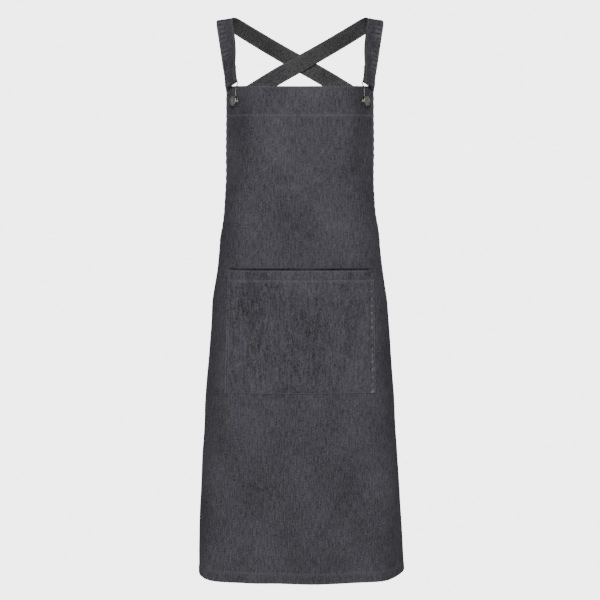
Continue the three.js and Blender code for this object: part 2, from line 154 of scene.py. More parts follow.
def value_noise(x, y, seed):
    """Smooth noise from -1 to 1 on a unit lattice, the same on every run."""
    def corner(i, j):
        h = np.sin(i * 127.1 + j * 311.7 + seed * 74.7) * 43758.5453
        return 2 * (h - np.floor(h)) - 1
    i, j = np.floor(x), np.floor(y)
    u, v = smooth(x - i), smooth(y - j)
    low = corner(i, j) * (1 - u) + corner(i + 1, j) * u
    high = corner(i, j + 1) * (1 - u) + corner(i + 1, j + 1) * u
    return low * (1 - v) + high * v


# ---------------------------------------------------------------- the surface the cloth lies on

def section_at(height):
    """The level section at a height: its front, arc lengths and arc turns, on a smooth curve between rows."""
    last = len(SECTIONS) - 1
    i = int(np.clip(np.searchsorted(SECTIONS[:, 0], height) - 1, 0, last - 1))
    a, b, c, d = (SECTIONS[k] for k in (max(0, i - 1), i, i + 1, min(last, i + 2)))
    t = float(np.clip((height - b[0]) / (c[0] - b[0]), 0, 1))
    row = b + 0.5 * t * (c - a + t * (2 * a - 5 * b + 4 * c - d + t * (3 * (b - c) + d - a)))
    return row[1], row[2::2], np.radians(row[3::2])


def walk(height, across):
    """Points of the level section at `height`, `across` from the centre, and the cloth's turn there."""
    front, lengths, angles = section_at(height)
    left = np.abs(across)
    x = np.zeros_like(left)
    y = np.full_like(left, -front)
    turn = np.zeros_like(left)
    for k, (length, angle) in enumerate(zip(lengths, angles)):
        run = left if k == len(lengths) - 1 else np.minimum(left, length)
        after = turn + angle * run / length
        radius = length / angle
        x += radius * (np.sin(after) - np.sin(turn))
        y += radius * (np.cos(turn) - np.cos(after))
        turn = after
        left = left - run
    side = np.where(across < 0, -1.0, 1.0)
    return np.stack([side * x, y, np.full_like(x, height)], -1), side * turn


def on_cloth(height, across, offset=0.0):
    """Points and outward normals for arrays of heights and distances round the cloth."""
    height, across = np.broadcast_arrays(np.asarray(height, float), np.asarray(across, float))
    shape = height.shape
    flat_h, flat_s = height.reshape(-1), across.reshape(-1)
    points = np.zeros((flat_h.size, 3))
    normals = np.zeros((flat_h.size, 3))
    for level in np.unique(flat_h):
        rows = np.nonzero(flat_h == level)[0]
        here, turn = walk(level, flat_s[rows])
        above = walk(level + 4, flat_s[rows])[0]
        below = walk(level - 4, flat_s[rows])[0]
        along = np.stack([np.cos(turn), np.sin(turn), np.zeros_like(turn)], -1)
        points[rows] = here
        normals[rows] = unit(np.cross(along, above - below))
    points = points.reshape(*shape, 3)
    normals = normals.reshape(*shape, 3)
    return points + normals * np.asarray(offset)[..., None], normals


def panel_half(height):
    """Half the panel's flat width: the armholes curve from the bib's width to the skirt's."""
    spread = smooth((ARMHOLE_TOP - np.asarray(height, float)) / (ARMHOLE_TOP - ARMHOLE_BOTTOM))
    return BIB_HALF + (SKIRT_HALF - BIB_HALF) * spread


def corner_lift(height, across):
    """How far the bib's top corners are drawn up, and the bottom edge where it turns to the back."""
    aside = np.abs(across)
    near = smooth((height - (BIB_TOP - 2 * TOP_HEM)) / (2 * TOP_HEM))
    low = smooth((70 - height) / 70) * smooth((aside - 148) / 75) * smooth((280 - aside) / 60)
    return CORNER_LIFT * near * (across / BIB_HALF) ** 2 + HEM_CORNER_LIFT * low


def drape(height, across):
    """How far soft folds move the cloth outwards."""
    low = smooth((430 - height) / 430)
    swing = 2.6 * np.sin(across / 31 + 0.6 + height / 210) + 1.4 * np.sin(across / 17 - height / 160)
    slant = (height - 95) * 0.62
    reach = smooth((height - 30) / 60) * smooth((230 - height) / 80)
    fold = bell(across - 28 - slant, 13) * reach
    dip = bell(across + 6 - slant, 16) * reach
    corner = bell(across + 128 + (300 - height) * 0.12, 9)
    corner *= smooth((height - 190) / 60) * smooth((POCKET_BOTTOM + 6 - height) / 20)
    fine = value_noise(across / 38, height / 55, 3) * 0.9 + value_noise(across / 17, height / 30, 5) * 0.35
    tails = smooth((np.abs(across) - 230) / 90) * np.sin(height / 70 + across / 40) * 3.0
    return low * swing + 3.6 * fold - 3.4 * dip + 2.8 * corner + fine + tails


def calm(heights, across):
    """Folds die out at the top of the bib and near the buttons, where the clips hold the cloth still."""
    upper = 1 - 0.75 * smooth((heights - CHEST) / 120)
    button = np.exp(-(((np.abs(across) - BUTTON_ACROSS) / 26) ** 2 + ((heights - BUTTON_HEIGHT) / 30) ** 2))
    return upper * (1 - button)


def settled(heights, across):
    """The folds as they are left once the bib's top is held."""
    return drape(heights, across) * calm(heights, across)


# ---------------------------------------------------------------- meshes

def make_object(name, vertices, faces, materials, slots=None, cloth=None, wear=None):
    """A mesh object in the frame. cloth is the flat place of each vertex on its cloth, in metres."""
    mesh = bpy.data.meshes.new(name)
    mesh.from_pydata([tuple(v) for v in vertices], [], [tuple(f) for f in faces])
    for material in materials:
        mesh.materials.append(material)
    if slots is not None:
        mesh.polygons.foreach_set("material_index", np.asarray(slots, np.int32))
    mesh.polygons.foreach_set("use_smooth", np.ones(len(mesh.polygons), bool))
    if cloth is not None:
        layer = mesh.attributes.new("cloth", "FLOAT_VECTOR", "POINT")
        layer.data.foreach_set("vector", np.asarray(cloth, np.float32).reshape(-1))
    if wear is not None:
        layer = mesh.attributes.new("wear", "FLOAT", "POINT")
        layer.data.foreach_set("value", np.asarray(wear, np.float32).reshape(-1))
    mesh.validate()
    mesh.update()
    piece = bpy.data.objects.new(name, mesh)
    bpy.context.scene.collection.objects.link(piece)
    return piece


def shell_faces(rows, columns):
    """Faces of a closed sheet whose front grid comes first and whose back grid follows, and which side."""
    grid = np.arange(rows * columns).reshape(rows, columns)
    a, b = grid[:-1, :-1].ravel(), grid[:-1, 1:].ravel()
    c, d = grid[1:, 1:].ravel(), grid[1:, :-1].ravel()
    back = rows * columns
    front_faces = np.stack([a, b, c, d], -1)
    back_faces = np.stack([a, d, c, b], -1) + back
    loop = np.concatenate([grid[0, :], grid[1:, -1], grid[-1, -2::-1], grid[-2:0:-1, 0]])
    after = np.roll(loop, -1)
    rim = np.stack([loop, loop + back, after + back, after], -1)
    faces = np.concatenate([front_faces, back_faces, rim])
    inside = np.concatenate([np.zeros(len(front_faces)), np.ones(len(back_faces)), np.zeros(len(rim))])
    return faces, inside


def cloth_sheet(name, heights, across, outer, inner, materials, wear, seed=0.0):
    """A closed sheet of cloth that follows the body; outer and inner are the offsets of its faces."""
    front, normals = on_cloth(heights, across, outer)
    back = on_cloth(heights, across, inner)[0]
    for side in (front, back):
        side[..., 2] += corner_lift(heights, across)
    rows, columns = heights.shape
    faces, inside = shell_faces(rows, columns)
    vertices = to_frame(np.concatenate([front.reshape(-1, 3), back.reshape(-1, 3)]))
    flat = np.stack([across, heights, np.full_like(across, seed)], -1).reshape(-1, 3) * MM
    worn = wear.reshape(-1)
    return make_object(name, vertices, faces, materials, inside, np.concatenate([flat, flat]),
                       np.concatenate([worn, worn]))


def band(name, centres, outward, materials, puckers, wear_side, seed):
    """A flat double strap swept along its centre line, softly rounded at its edges."""
    along = unit(np.gradient(centres, axis=0))
    sideways = unit(np.cross(outward, along))
    out = unit(np.cross(along, sideways))
    across = np.array([-1, -0.97, -0.9, -0.78, -0.6, -0.3, 0, 0.3, 0.6, 0.78, 0.9, 0.97, 1])
    crown = np.array([0.25, 0.72, 0.98, 0.82, 1, 1, 1, 1, 1, 0.82, 0.98, 0.72, 0.25])
    run = run_along(centres)
    grid = centres[:, None] + sideways[:, None] * (across[None, :, None] * STRAP_WIDTH / 2)
    plain = np.broadcast_to(crown * STRAP_THICKNESS / 2, grid.shape[:2])
    front = grid + out[:, None] * (plain + puckers(run[:, None], across[None, :]))[..., None]
    back = grid - out[:, None] * plain[..., None]
    rows, columns = grid.shape[:2]
    faces, inside = shell_faces(rows, columns)
    flat = np.stack([np.broadcast_to(across[None] * STRAP_WIDTH / 2, (rows, columns)),
                     np.broadcast_to(run[:, None], (rows, columns)),
                     np.full((rows, columns), seed)], -1).reshape(-1, 3) * MM
    ripple = 0.5 + 0.5 * wave(run[:, None], STRAP_PUCKER, 1.2)
    patchy = 0.45 + 0.55 * value_noise(run / 21, run * 0 + seed, 27)[:, None]
    worn = (smooth((wear_side * across + 0.15) / 0.5)[None] * ripple ** 2 * patchy).reshape(-1)
    piece = make_object(name, to_frame(np.concatenate([front.reshape(-1, 3), back.reshape(-1, 3)])),
                        faces[:, ::-1], materials, inside, np.concatenate([flat, flat]),
                        np.concatenate([worn, worn]))
    return piece, out, sideways


def stitches(name, lines, material, pitch=3.6, length=2.7, radius=0.33):
    """Rows of thread stitches along lines of (points, outward normals)."""
    vertices, faces = [], []
    sides, rings = 5, len(STITCH_SWELL)
    for points, normals in lines:
        run = run_along(points)
        starts = np.arange(pitch / 2, run[-1] - length, pitch)
        for start in starts:
            marks = start + np.linspace(0, length, rings)
            path = np.stack([np.interp(marks, run, points[:, k]) for k in range(3)], -1)
            face = unit(np.array([np.interp(start + length / 2, run, normals[:, k]) for k in range(3)]))
            ahead = unit(path[-1] - path[0])
            beside = unit(np.cross(ahead, face))
            base = len(vertices)
            for spot, swell, rise in zip(path, STITCH_SWELL, STITCH_RISE):
                for k in range(sides):
                    angle = math.tau * k / sides
                    turn = beside * math.cos(angle) + face * math.sin(angle)
                    vertices.append(spot + face * rise + turn * radius * swell)
            for ring in range(rings - 1):
                for k in range(sides):
                    a = base + ring * sides + k
                    b = base + ring * sides + (k + 1) % sides
                    faces.append((a, a + sides, b + sides, b))
            faces.append(tuple(base + k for k in range(sides)))
            faces.append(tuple(base + (rings - 1) * sides + k for k in reversed(range(sides))))
    return make_object(name, to_frame(np.array(vertices)), faces, [material])


def lathe(name, profile, place, material, facets=56):
    """A turned solid; profile is (radius, height) pairs from the axis back to the axis."""
    rings = np.array(profile, float)
    angles = np.linspace(0, math.tau, facets, endpoint=False)
    points = np.stack([rings[:, None, 0] * np.cos(angles), rings[:, None, 0] * np.sin(angles),
                       np.broadcast_to(rings[:, None, 1], (len(rings), facets))], -1)
    faces = []
    for r in range(len(rings) - 1):
        for k in range(facets):
            n = (k + 1) % facets
            faces.append((r * facets + k, r * facets + n, (r + 1) * facets + n, (r + 1) * facets + k))
    last = (len(rings) - 1) * facets
    faces.append(tuple(reversed(range(facets))))
    faces.append(tuple(range(last, last + facets)))
    return make_object(name, to_frame(place(points.reshape(-1, 3))), faces, [material])


def tube(name, path, face, radius, place, material, sides):
    """A round closed-ended wire along a flat path in a local frame whose z is `face`."""
    along = unit(np.gradient(path, axis=0))
    beside = unit(np.cross(along, face))
    angles = np.linspace(0, math.tau, sides, endpoint=False)
    rings = path[:, None] + radius * (beside[:, None] * np.cos(angles)[None, :, None]
                                      + face[None, None] * np.sin(angles)[None, :, None])
    count = len(path)
    faces = []
    for r in range(count - 1):
        for k in range(sides):
            n = (k + 1) % sides
            faces.append((r * sides + k, (r + 1) * sides + k, (r + 1) * sides + n, r * sides + n))
    faces.append(tuple(range(sides)))
    faces.append(tuple((count - 1) * sides + k for k in reversed(range(sides))))
    return make_object(name, to_frame(place(rings.reshape(-1, 3))), faces, [material])


# ---------------------------------------------------------------- materials

def nodes_of(name):
    """A new node material with its tree and its Principled shader."""
    material = bpy.data.materials.new(name)
    material.use_nodes = True
    tree = material.node_tree
    shader = tree.nodes["Principled BSDF"]
    return material, tree, shader


def link(tree, source, output, target, slot):
    tree.links.new(source.outputs[output], target.inputs[slot])


def add_node(tree, kind, **settings):
    node = tree.nodes.new(kind)
    for key, value in settings.items():
        setattr(node, key, value)
    return node


def scaled(tree, source, scale):
    """Cloth coordinates stretched by a scale along x, y and z."""
    mapping = add_node(tree, "ShaderNodeMapping")
    mapping.inputs["Scale"].default_value = scale
    link(tree, source, "Vector", mapping, "Vector")
    return mapping


def object_space(tree, scale):
    """Object coordinates stretched by a scale along x, y and z."""
    mapping = add_node(tree, "ShaderNodeMapping")
    mapping.inputs["Scale"].default_value = scale
    link(tree, add_node(tree, "ShaderNodeTexCoord"), "Object", mapping, "Vector")
    return mapping


def noise(tree, mapping, scale=1.0, detail=2.0, roughness=0.5):
    node = add_node(tree, "ShaderNodeTexNoise")
    node.inputs["Scale"].default_value = scale
    node.inputs["Detail"].default_value = detail
    node.inputs["Roughness"].default_value = roughness
    link(tree, mapping, "Vector", node, "Vector")
    return node


def math_node(tree, operation, a, b):
    node = add_node(tree, "ShaderNodeMath", operation=operation)
    for index, value in enumerate((a, b)):
        if isinstance(value, (int, float)):
            node.inputs[index].default_value = value
        else:
            tree.links.new(value, node.inputs[index])
    return node.outputs["Value"]


def weighted(tree, *layers):
    """The sum of textures, each given with its weight."""
    total = None
    for texture, weight in layers:
        part = math_node(tree, "MULTIPLY", texture.outputs["Fac"], weight)
        total = part if total is None else math_node(tree, "ADD", total, part)
    return total


def ramp(tree, factor, low, high, start=0.0, end=1.0):
    node = add_node(tree, "ShaderNodeValToRGB")
    node.color_ramp.elements[0].color = (*low, 1)
    node.color_ramp.elements[0].position = start
    node.color_ramp.elements[1].color = (*high, 1)
    node.color_ramp.elements[1].position = end
    tree.links.new(factor, node.inputs["Fac"])
    return node.outputs["Color"]


def bump(tree, shader, height, strength, distance):
    relief = add_node(tree, "ShaderNodeBump")
    relief.inputs["Strength"].default_value = strength
    relief.inputs["Distance"].default_value = distance
    tree.links.new(height, relief.inputs["Height"])
    link(tree, relief, "Normal", shader, "Normal")


def denim(name, warp, weft, worn, slub=0.5):
    """Twill with uneven warp threads, salt-and-pepper weft and paler worn edges."""
    material, tree, shader = nodes_of(name)
    cloth = add_node(tree, "ShaderNodeAttribute", attribute_name="cloth")
    wear = add_node(tree, "ShaderNodeAttribute", attribute_name="wear")
    streaks = noise(tree, scaled(tree, cloth, (430, 62, 50)), detail=3.0, roughness=0.7)
    threads = noise(tree, scaled(tree, cloth, (1500, 240, 50)), detail=1.0)
    pepper = noise(tree, scaled(tree, cloth, (470, 380, 50)), detail=3.0, roughness=0.75)
    clouds = noise(tree, scaled(tree, cloth, (14, 9, 50)), detail=3.0)
    twill = add_node(tree, "ShaderNodeTexWave", wave_type="BANDS", bands_direction="DIAGONAL")
    twill.inputs["Scale"].default_value = 300
    twill.inputs["Distortion"].default_value = 0.6
    twill.inputs["Detail Scale"].default_value = 2.0
    link(tree, scaled(tree, cloth, (1, 0.62, 1)), "Vector", twill, "Vector")

    mixed = weighted(tree, (streaks, slub), (pepper, 0.62), (threads, 0.22), (clouds, 0.22), (twill, 0.1))
    colour = ramp(tree, mixed, warp, weft, 0.63, 1.05)
    frayed = math_node(tree, "MULTIPLY", wear.outputs["Fac"], pepper.outputs["Fac"])
    frayed = math_node(tree, "MULTIPLY", frayed, 1.15)
    blend = add_node(tree, "ShaderNodeMix", data_type="RGBA")
    tree.links.new(frayed, blend.inputs["Factor"])
    tree.links.new(colour, blend.inputs["A"])
    blend.inputs["B"].default_value = (*worn, 1)
    tree.links.new(blend.outputs["Result"], shader.inputs["Base Color"])
    rough = math_node(tree, "MULTIPLY", pepper.outputs["Fac"], 0.12)
    tree.links.new(math_node(tree, "ADD", rough, 0.84), shader.inputs["Roughness"])
    shader.inputs["Specular IOR Level"].default_value = 0.05

    bump(tree, shader, weighted(tree, (twill, 0.5), (pepper, 0.9), (streaks, 0.7)), 0.35, 0.0006)
    return material


def thread(name, dark, pale):
    """Spun thread with a fine uneven twist."""
    material, tree, shader = nodes_of(name)
    twist = noise(tree, object_space(tree, (1400, 1400, 1400)), detail=1.0)
    tree.links.new(ramp(tree, twist.outputs["Fac"], dark, pale, 0.3, 0.7), shader.inputs["Base Color"])
    shader.inputs["Roughness"].default_value = 0.8
    shader.inputs["Specular IOR Level"].default_value = 0.1
    bump(tree, shader, twist.outputs["Fac"], 0.4, 0.0002)
    return material


def metal(name, dark, pale, rough_low, rough_high, scratch):
    """Handled metal with long fine marks in its colour and gloss."""
    material, tree, shader = nodes_of(name)
    marks = noise(tree, object_space(tree, (scratch, scratch, scratch * 0.3)), detail=4.0, roughness=0.7)
    tree.links.new(ramp(tree, marks.outputs["Fac"], dark, pale, 0.3, 0.75), shader.inputs["Base Color"])
    shader.inputs["Metallic"].default_value = 1.0
    rough = math_node(tree, "MULTIPLY", marks.outputs["Fac"], rough_high - rough_low)
    tree.links.new(math_node(tree, "ADD", rough, rough_low), shader.inputs["Roughness"])
    bump(tree, shader, marks.outputs["Fac"], 0.05, 0.0002)
    return material


FACE = denim("denim_face", warp=(0.0035, 0.0035, 0.0045), weft=(0.045, 0.0433, 0.0505),
             worn=(0.055, 0.0535, 0.0615))
REVERSE = denim("denim_reverse", warp=(0.022, 0.022, 0.023), weft=(0.1, 0.099, 0.101),
                worn=(0.085, 0.085, 0.088), slub=0.4)
WEBBING = denim("strap_face", warp=(0.0035, 0.0035, 0.0043), weft=(0.04, 0.0385, 0.0445),
                worn=(0.062, 0.06, 0.068), slub=0.45)
STRAP_BACK = denim("strap_reverse", warp=(0.011, 0.0107, 0.0114), weft=(0.08, 0.078, 0.081),
                   worn=(0.05, 0.05, 0.05), slub=0.3)
DARK_THREAD = thread("dark_thread", dark=(0.02, 0.02, 0.021), pale=(0.06, 0.06, 0.063))
GREY_THREAD = thread("grey_thread", dark=(0.045, 0.045, 0.047), pale=(0.1, 0.1, 0.105))
WIRE = metal("bright_wire", dark=(0.06, 0.06, 0.059), pale=(0.14, 0.14, 0.137),
             rough_low=0.3, rough_high=0.42, scratch=500)
NICKEL = metal("antique_nickel", dark=(0.06, 0.057, 0.052), pale=(0.19, 0.184, 0.17),
               rough_low=0.34, rough_high=0.5, scratch=260)


# ---------------------------------------------------------------- panel and hems

def graded(*stops):
    """Sorted grid lines from several lists, with doubles taken out."""
    return np.unique(np.round(np.concatenate([np.atleast_1d(s) for s in stops]), 3))


STEP = 3.0
EDGE_STEPS = np.array([0, 0.7, 1.8, 3.2, 5, 7, 8.3, 9.2, 10.4, 12.5, 15.5])


def panel_columns(heights):
    """Distances round the cloth for rows of the panel, closer together at the side hems."""
    half = panel_half(heights)[:, None]
    inner = np.linspace(-1, 1, int(2 * SKIRT_HALF / (STEP * 1.25)) + 1)[None, 1:-1] * (half - EDGE_STEPS[-1])
    return np.concatenate([EDGE_STEPS[None] - half, inner, (half - EDGE_STEPS[None])[:, ::-1]], 1)


def from_edge(heights, across):
    return panel_half(heights) - np.abs(across)


def groove(distance, width=1.1):
    """The narrow dip that a line of stitches pulls into the cloth."""
    return bell(distance, width)


def panel_relief(heights, across):
    """Seam puckers, the dip along each stitch line and the swell of each hem."""
    edge = from_edge(heights, across)
    side = np.where(across < 0, 0.0, 1.7)
    ripple = wave(heights, SIDE_PUCKER, side + 1.4 * value_noise(heights / 40, side, 7))
    strong = 0.55 + 0.45 * smooth((heights - CHEST) / 80)
    hem = smooth((SIDE_HEM + 2 - edge) / 4) * (0.42 * ripple * strong + 0.25)
    hem += -0.55 * groove(edge - SIDE_HEM + 1) - 0.5 * smooth((1.8 - edge) / 1.8)
    top = BIB_TOP - heights
    crimp = wave(across, 15, 1.2 * value_noise(across / 50, across * 0, 9))
    hem += -0.6 * groove(top - TOP_HEM) - 0.5 * smooth((1.6 - top) / 1.6) * (edge > 2)
    hem += 0.3 * crimp * bell(top - TOP_HEM - 5, 6)
    low = wave(across, 16, 2 * value_noise(across / 60, across * 0, 11))
    hem += -0.6 * groove(heights - BOTTOM_HEM) - 0.4 * smooth((1.6 - heights) / 1.6) * (edge > 2)
    hem += smooth((BOTTOM_HEM + 2 - heights) / 6) * (0.3 * low + 0.2)
    crease = -0.7 * bell(across, 1.6) * smooth((heights - (BIB_TOP - 45)) / 10)
    return hem + crease


def panel_wear(heights, across):
    """Where the cloth is worn pale: the ripples of its side seams and the edges of its hems."""
    edge = from_edge(heights, across)
    ripple = 0.5 + 0.5 * wave(heights, SIDE_PUCKER, np.where(across < 0, 0.0, 1.7) + 0.9)
    side = smooth((SIDE_HEM - edge) / 4) * (0.25 + 0.6 * ripple)
    top = smooth((3 - (BIB_TOP - heights)) / 3) * 0.6 + 0.45 * groove(BIB_TOP - heights - TOP_HEM - 1.5, 2.2)
    bottom = smooth((3 - heights) / 3) * 0.6 + 0.45 * groove(heights - BOTTOM_HEM - 1.5, 2.2)
    return np.clip(side + top + bottom, 0, 1)


def hang(heights, across):
    """Where the middle of the panel hangs: its folds, and how it sinks back behind the pocket's mouth."""
    inside = smooth((across + 130) / 12) * smooth((130 - across) / 12)
    bays = 0.5 + 0.5 * np.abs(np.sin((across - PEN_DIVIDER) * math.pi / 118 + 0.35))
    behind = smooth((POCKET_TOP + 4.2 - heights) / 3.2) * smooth((heights - (POCKET_TOP - 74)) / 60)
    return settled(heights, across) - MOUTH_SINK * inside * bays * behind


def panel_face(heights, across):
    return CLOTH / 2 + hang(heights, across) + panel_relief(heights, across)


def panel_rows(low, high, *extra):
    return graded(np.arange(low, high, STEP), high, *extra)


around = np.array([-1.5, 0, 1.5])
rows = panel_rows(0, BIB_TOP, [0.7, 1.8, BIB_TOP - 1.8, BIB_TOP - 0.7], BOTTOM_HEM + around,
                  BIB_TOP - TOP_HEM + around, POCKET_TOP + np.arange(-3, 9))
across = panel_columns(rows)
heights = np.broadcast_to(rows[:, None], across.shape)
panel = cloth_sheet("denim_panel", heights, across, panel_face(heights, across),
                    hang(heights, across) - CLOTH / 2, [FACE, REVERSE],
                    panel_wear(heights, across))
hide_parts("apron_panel")


def inner_layer(name, low, high, start, end, node, columns=90):
    """A turned-in hem on the inside of the panel; start and end give its side edges in each row."""
    level = panel_rows(low, high, [low + 0.8, high - 0.8])
    fractions = np.linspace(0, 1, columns)[None]
    spread = start(level)[:, None] + (end(level) - start(level))[:, None] * fractions
    grid = np.broadcast_to(level[:, None], spread.shape)
    base = settled(grid, spread) - CLOTH / 2
    rim = np.minimum(smooth((grid - low) / 1.5), smooth((high - grid) / 1.5)) * 0.3
    piece = cloth_sheet(name, grid, spread, base - 0.06, base - HEM_LAYER - rim, [REVERSE, FACE],
                        0.25 * np.ones_like(grid), seed=37.0)
    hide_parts(node)
    return piece


facing = inner_layer("top_hem_facing", BIB_TOP - TOP_HEM, BIB_TOP - 0.6, lambda h: 0.8 - panel_half(h),
                     lambda h: panel_half(h) - 0.8, "bib_facing")
bottom = inner_layer("bottom_hem_fold", 0.6, BOTTOM_HEM, lambda h: 0.8 - panel_half(h),
                     lambda h: panel_half(h) - 0.8, "bottom_hem", 150)
side_hems = []
for word, side in SIDES:
    def outer_edge(h, s=side):
        return s * (panel_half(h) - 0.6)

    def inner_edge(h, s=side):
        return s * (panel_half(h) - SIDE_HEM)

    ends = (outer_edge, inner_edge) if side < 0 else (inner_edge, outer_edge)
    side_hems.append(inner_layer(f"{word}_side_hem_fold", BOTTOM_HEM + 1, BIB_TOP - TOP_HEM - 1, *ends,
                                 f"{word}_side_hem", 6))


# ---------------------------------------------------------------- pocket

def pocket_edge(edge, height):
    """Where a side of the pocket is at a height; edge gives it at the bottom and at the top."""
    return edge[0] + (edge[1] - edge[0]) * (height - POCKET_BOTTOM) / (POCKET_TOP - POCKET_BOTTOM)


def pocket_gape(height, across):
    """How far the pocket stands off the panel: two bays, closed at the seams and at the bottom."""
    left, right = pocket_edge(POCKET_LEFT, height), pocket_edge(POCKET_RIGHT, height)
    pen = across < PEN_DIVIDER
    start = np.where(pen, left, PEN_DIVIDER)
    end = np.where(pen, PEN_DIVIDER, right)
    u = np.clip((across - start) / (end - start), 0, 1)
    up = np.clip((height - POCKET_BOTTOM) / (POCKET_TOP - POCKET_BOTTOM), 0, 1)
    bay = np.sin(math.pi * u) ** 0.7 * np.where(pen, PEN_GAPE, POCKET_GAPE)
    lips = 1 + 0.28 * np.sin(5.5 * math.pi * u + 0.8)
    return bay * np.sin(math.pi / 2 * up) * up ** 1.5 * lips


def pocket_back(heights, across, gap=0.35):
    """Offset of the pocket's inner face from the body."""
    return CLOTH / 2 + gap + settled(heights, across) + pocket_gape(heights, across)


def pocket_relief(height, across):
    """The sunken puckered band at the right seam, the dip along each stitch line and the swell of the hem."""
    left = across - pocket_edge(POCKET_LEFT, height)
    right = pocket_edge(POCKET_RIGHT, height) - across
    edge = np.minimum(left, right)
    ripple = wave(height, POCKET_PUCKER, 1.2 * value_noise(height / 35, height * 0 + 2, 13))
    out = smooth((12 - right) / 4) * smooth((right - 2.6) / 2) * (0.45 * ripple - 0.6)
    out += smooth((7 - left) / 3) * 0.25 * ripple
    out += -0.6 * sum(groove(edge - inset) for inset in POCKET_SEAMS)
    up, down = POCKET_TOP - height, height - POCKET_BOTTOM
    crimp = wave(across, 12, 1.5 * value_noise(across / 40, across * 0, 15))
    out += smooth((POCKET_HEM - up) / 4) * (0.25 * crimp + 0.3) - 0.6 * groove(up - POCKET_HEM)
    out += -0.55 * sum(groove(down - inset) for inset in POCKET_SEAMS) - 0.6 * groove(across - PEN_DIVIDER)
    return out - 0.4 * smooth((1.4 - np.minimum(edge, down)) / 1.4)


def pocket_wear(height, across):
    """Where the pocket is worn pale: its edges, its hem and the ripples of its right seam."""
    left = across - pocket_edge(POCKET_LEFT, height)
    right = pocket_edge(POCKET_RIGHT, height) - across
    ripple = 0.5 + 0.5 * wave(height, POCKET_PUCKER, 1.0)
    worn = smooth((3 - left) / 3) * 0.5 + smooth((12 - right) / 6) * 0.12 * ripple
    up, down = POCKET_TOP - height, height - POCKET_BOTTOM
    return np.clip(worn + smooth((3 - up) / 3) * 0.65 + smooth((3 - down) / 3) * 0.6
                   + 0.5 * groove(up - POCKET_HEM - 1.6, 2), 0, 1)


def pocket_grid(low, high, extra):
    """Heights and places across for a grid over the pocket, closer together at its sides."""
    level = graded(np.arange(low, high, STEP), high, extra)
    stops = graded(np.linspace(0, 1, 90), [0.004, 0.011, 0.02, 0.03, 0.98, 0.99, 0.996])
    left, right = pocket_edge(POCKET_LEFT, level), pocket_edge(POCKET_RIGHT, level)
    spread = left[:, None] + (right - left)[:, None] * stops[None]
    return np.broadcast_to(level[:, None], spread.shape), spread


hem_line = POCKET_TOP - POCKET_HEM
heights, across = pocket_grid(POCKET_BOTTOM, POCKET_TOP, [
    POCKET_BOTTOM + 1, POCKET_BOTTOM + 2, POCKET_BOTTOM + 8.5, *(hem_line + around),
    POCKET_TOP - 1.6, POCKET_TOP - 0.7])
under = pocket_back(heights, across)
pocket = cloth_sheet("patch_pocket", heights, across, under + CLOTH + pocket_relief(heights, across), under,
                     [FACE, REVERSE], pocket_wear(heights, across), seed=11.0)
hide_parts("pocket_patch")

heights, across = pocket_grid(hem_line, POCKET_TOP - 0.6, [hem_line + 1, hem_line + 2.5])
across = across * 0.985
under = pocket_back(heights, across, 0.3)
pocket_hem = cloth_sheet("pocket_top_hem_fold", heights, across, under, under - HEM_LAYER, [REVERSE, FACE],
                         0.4 * np.ones_like(heights), seed=51.0)
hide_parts("pocket_top_hem")


# ---------------------------------------------------------------- buttons and clips

def turn_about(vector, axis, angle):
    """A vector turned by an angle about a unit axis."""
    return (vector * math.cos(angle) + np.cross(axis, vector) * math.sin(angle)
            + axis * np.dot(axis, vector) * (1 - math.cos(angle)))


def button_frame(side):
    """Origin on the cloth and the axes of a button: along the clip's bar, up the clip and outwards."""
    point, outward = on_cloth(np.array([BUTTON_HEIGHT]), np.array([side * BUTTON_ACROSS]),
                              np.array([CLOTH / 2]))
    outward = outward[0]
    upright = unit(np.array([0, 0, 1.0]) - outward * outward[2])
    clip_up = turn_about(upright, outward, -side * CLIP_LEAN)
    return point[0], np.stack([np.cross(clip_up, outward), clip_up, outward])


def button_place(side):
    """A function that puts a button's local points on the apron."""
    origin, axes = button_frame(side)
    return lambda local: origin + local @ axes


def clip_place(side):
    """The same for a clip, which leans out from the button's shank by its rake."""
    place = button_place(side)
    c, s = math.cos(CLIP_RAKE), math.sin(CLIP_RAKE)
    rake = np.array([[1, 0, 0], [0, c, s], [0, -s, c]])
    return lambda local: place(local @ rake + np.array([0, 0, RING_LIFT]))


def wire_path():
    """The wire from the middle of the bar down one side, round the ring and back, with rounded bends."""
    neck = math.radians(58)
    half = [(0.3, BAR_UP), (BAR_HALF - 2, BAR_UP), (BAR_HALF, BAR_UP - 2), (BAR_HALF, 25.7),
            (15.6, 24.1), (11.7, 22.8), (9.9, 21.0)]
    arc = [(RING_RADIUS * math.cos(a), RING_RADIUS * math.sin(a))
           for a in np.linspace(neck, -math.pi - neck, 40)]
    path = np.array(half + arc + [(-x, y) for x, y in reversed(half)], float)
    for _ in range(3):
        quarter = 0.75 * path[:-1] + 0.25 * path[1:]
        three = 0.25 * path[:-1] + 0.75 * path[1:]
        inner = np.stack([quarter, three], 1).reshape(-1, 2)
        path = np.concatenate([path[:1], inner, path[-1:]])
    return np.concatenate([path, np.zeros((len(path), 1))], 1)


